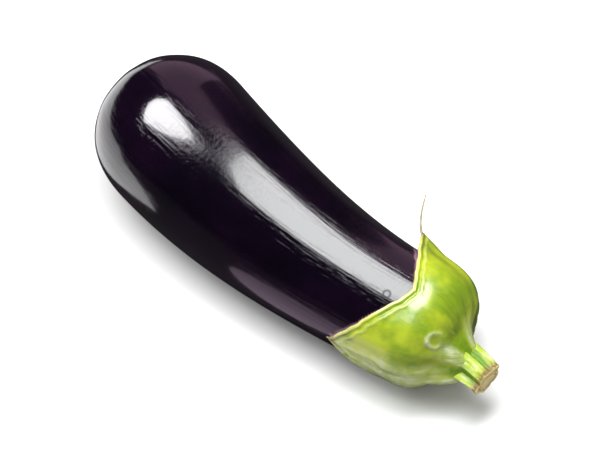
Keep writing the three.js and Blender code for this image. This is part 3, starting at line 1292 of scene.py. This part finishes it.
@dataclass(frozen=True)
class SkinFinish:
    """Waxy, nearly black purple skin: glossy, finely streaked, lilac by the cap."""

    deep: Colour = (0.0011, 0.0005, 0.0022)
    purple: Colour = (0.0052, 0.0012, 0.0066)
    lilac: Colour = (0.26, 0.12, 0.20)
    cork: Colour = (0.20, 0.12, 0.06)
    sheen: Colour = (0.98, 0.95, 1.0)
    gloss: tuple[float, float] = (0.07, 0.12)
    wax_gloss: float = 0.07
    nick_station: float = 155.7
    nick_angle: float = -20.8
    nick_radius: float = 1.4
    nick_line: float = 0.75
    nick_wax: float = 0.15

    def nick(self, sheet: Sheet, flow_mark: bpy.types.NodeSocket) -> bpy.types.NodeSocket:
        """Marks a small healed nick on the neck: a ring, by the distance from its middle.

        Args:
            sheet: The material's sheet.
            flow_mark: The skin's flow.

        Returns:
            1 on the ring, falling to 0 on either side of it.
        """
        angle, radius = math.radians(self.nick_angle), Form.neck_radius
        middle = (radius * math.cos(angle), radius * math.sin(angle), self.nick_station)
        away = sheet.add("ShaderNodeVectorMath", {0: flow_mark, 1: middle}, operation="DISTANCE")
        off = sheet.math("SUBTRACT", away.outputs["Value"], self.nick_radius)
        off = sheet.math("DIVIDE", sheet.math("ABSOLUTE", off), self.nick_line)
        return sheet.spread(off, 1.0, 0.0)

    def material(self, effects: Effects) -> bpy.types.Material:
        """Builds the finish.

        Args:
            effects: The shared node groups.

        Returns:
            The material.
        """
        material, sheet, shader = new_material("eggplant_skin")
        flow_mark = sheet.mark(Mark.FLOW)
        fine = sheet.group(
            effects.streaks, {"Flow": flow_mark, "Across mm": 1.2, "Along mm": 22.0, "Contrast": 3.0}
        ).outputs[0]
        broad = sheet.group(
            effects.streaks, {"Flow": flow_mark, "Across mm": 6.0, "Along mm": 70.0, "Contrast": 2.5}
        ).outputs[0]
        patches = sheet.group(effects.mottle, {"Size mm": 38.0, "Contrast": 3.0}).outputs[0]
        specks = sheet.group(effects.mottle, {"Size mm": 1.1, "Contrast": 5.0}).outputs[0]
        tone = sheet.math("MULTIPLY", patches, sheet.spread(broad, 0.4, 1.0))
        colour = sheet.mix(tone, self.deep, self.purple)
        colour = sheet.stains(effects.stain, colour, ((self.lilac, sheet.mark(Mark.PALE), 0.5, 1.6),))
        scar = sheet.group(
            effects.stain,
            {"Base": colour, "Stain": self.cork, "Amount": sheet.mark(Mark.SCAR_AND_HIGHLIGHT), "Size mm": 1.0},
        ).outputs
        gloss = sheet.spread(sheet.math("MULTIPLY", fine, specks), *self.gloss)
        height = sheet.math("ADD", sheet.math("MULTIPLY", fine, 0.7), broad)
        height = sheet.math("ADD", height, sheet.math("MULTIPLY", specks, 0.12))
        height = sheet.math("ADD", height, sheet.math("MULTIPLY", scar["Amount"], specks))
        nick = self.nick(sheet, flow_mark)
        dull = sheet.math("MAXIMUM", scar["Amount"], nick)
        finish = {
            "Base Color": scar["Color"],
            "Roughness": sheet.math("ADD", gloss, sheet.math("MULTIPLY", dull, 0.5)),
            "Coat Weight": sheet.spread(nick, 1.0, self.nick_wax),
            "Normal": sheet.bump(height, strength=1.0, distance=0.09),
            "IOR": 1.5,
            "Specular Tint": self.sheen,
            "Coat Roughness": self.wax_gloss,
        }
        sheet.fill(shader, finish)
        return material


@dataclass(frozen=True)
class CapFinish:
    """Leathery yellow-green: pale raised rim, whitish bloom below, painted highlight on the collar's
    ridges and the bud scar's ring, painted shade in its grooves, brown dry tips, veined.
    """

    lime: Colour = (0.30, 0.36, 0.012)
    leaf: Colour = (0.10, 0.185, 0.004)
    rim: Colour = (0.47, 0.45, 0.14)
    # Whitish bloom colour; also painted on the collar's ridges and the bud scar's ring as highlight.
    bloom: Colour = (0.45, 0.48, 0.31)
    inside: Colour = (0.46, 0.50, 0.26)
    dry: Colour = (0.12, 0.07, 0.025)
    roughness: tuple[float, float] = (0.26, 0.42)
    ior: float = 1.42
    coat_roughness: float = 0.22
    coat_ior: float = 1.7

    def material(self, effects: Effects) -> bpy.types.Material:
        """Builds the finish.

        Args:
            effects: The shared node groups.

        Returns:
            The material.
        """
        material, sheet, shader = new_material("eggplant_cap")
        flow_mark = sheet.mark(Mark.FLOW)
        veins = sheet.group(
            effects.streaks, {"Flow": flow_mark, "Across mm": 2.2, "Along mm": 11.0, "Contrast": 2.2}
        ).outputs[0]
        patches = sheet.group(effects.mottle, {"Size mm": 16.0, "Contrast": 5.0}).outputs[0]
        grain = sheet.group(effects.mottle, {"Size mm": 0.8, "Contrast": 3.0}).outputs[0]
        tone = sheet.math("MULTIPLY", patches, sheet.spread(veins, 0.55, 1.0))
        colour = sheet.mix(tone, self.lime, self.leaf)
        layers = (
            # Painted shade: darker green in the grooves by the stem.
            (self.leaf, sheet.mark(Mark.PAINTED_GROOVE_SHADE), 0.5, 2.0),
            # Real bloom below, and painted highlight on the collar's ridges.
            (self.bloom, sheet.math("MULTIPLY", sheet.mark(Mark.BLOOM_AND_HIGHLIGHT), veins), 0.9, 3.0),
            # Painted highlight: the bud scar's ring made pale.
            (self.bloom, sheet.math("MULTIPLY", sheet.mark(Mark.SCAR_AND_HIGHLIGHT), 0.8), 0.9, 1.5),
            (self.rim, sheet.mark(Mark.RIM), 0.6, 1.2),
            (self.inside, sheet.mark(Mark.INSIDE), 0.2, 2.0),
            (self.dry, sheet.mark(Mark.DRY), 0.8, 1.0),
        )
        height = sheet.math("ADD", veins, sheet.math("MULTIPLY", grain, 0.35))
        finish = {
            "Base Color": sheet.stains(effects.stain, colour, layers),
            "Roughness": sheet.spread(veins, *self.roughness),
            "Normal": sheet.bump(height, strength=0.5, distance=0.15),
            "IOR": self.ior,
            "Coat Weight": 1.0,
            "Coat Roughness": self.coat_roughness,
            "Coat IOR": self.coat_ior,
        }
        sheet.fill(shader, finish)
        return material


@dataclass(frozen=True)
class StemFinish:
    """Green ridges painted pale as highlight, grooves darkened as painted shade, a brown edge at the
    cut and beige pith with woody rings.
    """

    lime: Colour = (0.34, 0.44, 0.03)
    # Painted shade colour for the grooves.
    groove: Colour = (0.10, 0.20, 0.008)
    # Pale colour painted on the ridges as their highlight.
    painted_ridge_highlight: Colour = (0.55, 0.58, 0.34)
    pith: Colour = (0.58, 0.47, 0.22)
    wood: Colour = (0.24, 0.15, 0.055)
    dry: Colour = (0.16, 0.09, 0.03)
    roughness: tuple[float, float] = (0.38, 0.5)
    cut_rougher: float = 0.35
    ior: float = 1.42

    def material(self, effects: Effects) -> bpy.types.Material:
        """Builds the finish.

        Args:
            effects: The shared node groups.

        Returns:
            The material.
        """
        material, sheet, shader = new_material("eggplant_stem")
        flow_mark = sheet.mark(Mark.FLOW)
        fibres = sheet.group(
            effects.streaks, {"Flow": flow_mark, "Across mm": 0.8, "Along mm": 8.0, "Contrast": 4.0}
        ).outputs[0]
        grain = sheet.group(effects.mottle, {"Size mm": 0.7, "Contrast": 4.0}).outputs[0]
        patches = sheet.group(effects.mottle, {"Size mm": 6.0, "Contrast": 4.0}).outputs[0]
        groove = sheet.mark(Mark.PAINTED_GROOVE_SHADE)
        cut = sheet.mark(Mark.CUT)
        ring = sheet.mark(Mark.RING)
        wood = sheet.math("SUBTRACT", 1.0, sheet.math("ABSOLUTE", sheet.math("SUBTRACT", ring, 0.8)))
        wood = sheet.math("MULTIPLY", sheet.math("POWER", wood, 12.0), cut)
        # Ridges get a painted highlight, grooves get painted shade.
        ridge = sheet.math("SUBTRACT", 1.0, groove)
        painted_ridge_highlight = sheet.math("MULTIPLY", sheet.math("MULTIPLY", ridge, fibres), patches)
        painted_ridge_highlight = sheet.math("MULTIPLY", painted_ridge_highlight, sheet.mark(Mark.BLOOM_AND_HIGHLIGHT))
        colour = sheet.mix(sheet.math("MULTIPLY", fibres, 0.35), self.lime, self.groove)
        layers = (
            # Painted shade in the grooves.
            (self.groove, groove, 0.6, 1.5),
            # Painted highlight on the ridges.
            (self.painted_ridge_highlight, painted_ridge_highlight, 0.6, 1.5),
            (self.dry, sheet.mark(Mark.DRY), 0.9, 1.0),
            (self.pith, cut, 0.3, 0.8),
            (self.wood, wood, 0.9, 0.7),
        )
        height = sheet.math("ADD", fibres, sheet.math("MULTIPLY", grain, 0.6))
        side = sheet.spread(fibres, *self.roughness)
        finish = {
            "Base Color": sheet.stains(effects.stain, colour, layers),
            "Roughness": sheet.math("ADD", side, sheet.math("MULTIPLY", cut, self.cut_rougher)),
            "Normal": sheet.bump(height, strength=0.6, distance=0.2),
            "IOR": self.ior,
        }
        sheet.fill(shader, finish)
        return material


# --- The studio ----------------------------------------------------------------------------------


@dataclass(frozen=True)
class Lamp:
    """A soft light: a flat shape of even brightness that faces a point.

    place is where it is and aim what it faces, in millimetres; along is the direction that its
    height runs in and glow its brightness. A hidden lamp doesn't show in a gloss.
    """

    name: str
    place: Colour
    aim: Colour
    along: Colour
    width: float
    height: float
    glow: float
    tint: Colour = (1.0, 1.0, 1.0)
    shape: str = "RECTANGLE"
    hidden: bool = False

    def light(self) -> None:
        """Adds the lamp; its power is its brightness times its area times pi."""
        data = bpy.data.lights.new(self.name, "AREA")
        data.shape = self.shape
        data.size, data.size_y = self.width * MM, self.height * MM
        rounded = math.pi / 4.0 if self.shape == "ELLIPSE" else 1.0
        data.energy = self.glow * math.pi * data.size * data.size_y * rounded
        data.color = self.tint
        lamp = bpy.data.objects.new(self.name, data)
        lamp.location = Vector(self.place) * MM
        back = (Vector(self.place) - Vector(self.aim)).normalized()
        side = Vector(self.along).cross(back).normalized()
        lamp.rotation_mode = "QUATERNION"
        axes = Matrix((side, back.cross(side), back)).transposed()
        lamp.rotation_quaternion = axes.to_quaternion()
        lamp.visible_camera = False
        lamp.visible_glossy = not self.hidden
        bpy.context.scene.collection.objects.link(lamp)


@dataclass(frozen=True)
class Studio:
    """The camera, the pale floor, the soft lights and the air round them."""

    azimuth: float = 44.64
    elevation: float = 54.09
    roll: float = -3.66
    distance: float = 1329.0
    focal_mm: float = 198.0
    floor_size: float = 12000.0
    floor_colour: Colour = (0.62, 0.62, 0.62)
    floor_in_gloss: Colour = (0.013, 0.011, 0.013)
    lamps: tuple[Lamp, ...] = (
        Lamp("overhead", (57, 20, 500), (57, 20, 0), (0, 1, 0), 246, 450, 8.6,
             (0.97, 1.0, 0.98)),
        Lamp("window", (-272, -197, 500), (-272, -197, 0), (0.43, 0.9, 0), 200, 540, 13.0,
             shape="ELLIPSE"),
        Lamp("cap_spark", (105, 60, 500), (105, 60, 0), (0, 1, 0), 110, 210, 22.0,
             shape="ELLIPSE"),
        Lamp("left_glow", (-370, -37, 1), (-370, -37, 500), (-0.707, 0.707, 0), 420, 500, 1.3),
        Lamp("front_glow", (50, -76, 1), (50, -76, 500), (0, 1, 0), 92, 74, 0.55,
             (1.0, 0.75, 1.0), "ELLIPSE"),
        Lamp("back_haze", (-975, 900, 1400), (-975, 0, 1400), (0, 0, 1), 1450, 2790, 0.44,
             (1.0, 0.62, 0.85)),
        Lamp("soft_top", (0, -300, 1400), (0, 0, 0), (0, 1, 0), 1500, 1500, 0.6, hidden=True),
    )
    air_seen: float = 0.85
    air_soft: float = 0.55
    air_reflected: float = 0.012

    def camera(self) -> None:
        """Adds the camera: it faces the middle of the model from its azimuth and elevation."""
        low, high = CAD_BOX
        centre = (low + high) / 2.0
        turn, rise = math.radians(self.azimuth), math.radians(self.elevation)
        level = math.cos(rise)
        back = Vector((math.sin(turn) * level, -math.cos(turn) * level, math.sin(rise)))
        data = bpy.data.cameras.new("camera")
        data.sensor_width = 36.0
        data.lens = self.focal_mm
        data.clip_start, data.clip_end = 0.01, 100.0
        camera = bpy.data.objects.new("camera", data)
        camera.location = centre + back * self.distance * MM
        camera.rotation_mode = "QUATERNION"
        facing = (-back).to_track_quat("-Z", "Y").to_matrix()
        camera.rotation_quaternion = (
            facing @ Matrix.Rotation(math.radians(self.roll), 3, "Z")
        ).to_quaternion()
        bpy.context.scene.collection.objects.link(camera)
        bpy.context.scene.camera = camera

    def floor(self) -> None:
        """Adds the floor: a large square level with the model's bottom, dark in the gloss."""
        half = self.floor_size / 2.0
        corners = np.array([[-half, -half], [half, -half], [half, half], [-half, half]])
        points = np.column_stack([corners, np.zeros(4)]) * MM
        mesh = bpy.data.meshes.new("floor")
        mesh.from_pydata(points.tolist(), [], [[0, 1, 2, 3]])
        floor = bpy.data.objects.new("floor", mesh)
        bpy.context.scene.collection.objects.link(floor)
        material, sheet, shader = new_material("pale_floor")
        where = sheet.add("ShaderNodeTexCoord").outputs["Object"]
        noise = sheet.add("ShaderNodeTexNoise", {"Vector": where, "Scale": 30.0}).outputs["Fac"]
        darker = tuple(0.985 * part for part in self.floor_colour)
        colour = sheet.mix(noise, self.floor_colour, darker)
        glossy = sheet.add("ShaderNodeLightPath").outputs["Is Glossy Ray"]
        colour = sheet.mix(glossy, colour, self.floor_in_gloss)
        sheet.fill(shader, {"Base Color": colour, "Roughness": 0.9, "Specular IOR Level": 0.1})
        mesh.materials.append(material)

    def air(self) -> None:
        """Sets the air: pale where it is seen, soft as a light, and dark in the gloss."""
        world = bpy.data.worlds.new("air")
        world.use_nodes = True
        world.node_tree.nodes.clear()
        sheet = Sheet(world.node_tree)
        path = sheet.add("ShaderNodeLightPath").outputs
        soft = sheet.spread(path["Is Glossy Ray"], self.air_soft, self.air_reflected)
        rest = sheet.math("SUBTRACT", self.air_seen, soft)
        strength = sheet.math("ADD", soft, sheet.math("MULTIPLY", path["Is Camera Ray"], rest))
        glow = sheet.add(
            "ShaderNodeBackground", {"Color": (1.0, 1.0, 1.0, 1.0), "Strength": strength}
        )
        sheet.add("ShaderNodeOutputWorld", {"Surface": glow.outputs[0]})
        bpy.context.scene.world = world

    def build(self) -> None:
        """Adds the camera, the floor, the lamps and the air."""
        self.camera()
        self.floor()
        for lamp in self.lamps:
            lamp.light()
        self.air()
        bpy.context.scene.view_settings.view_transform = "Standard"


def write_sizes() -> None:
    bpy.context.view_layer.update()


def main() -> None:
    """Builds the studio and the eggplant."""
    logging.basicConfig(level=logging.INFO, format="%(name)s %(message)s")
    Studio().build()
    effects = Effects()
    form = Form()
    cap_form = CapForm(form)
    Fruit(form, cap_form).build(SkinFinish().material(effects))
    Cap(cap_form).build(CapFinish().material(effects))
    Stem(cap_form).build(StemFinish().material(effects))
    write_sizes()


if __name__ == "__main__":
    main()
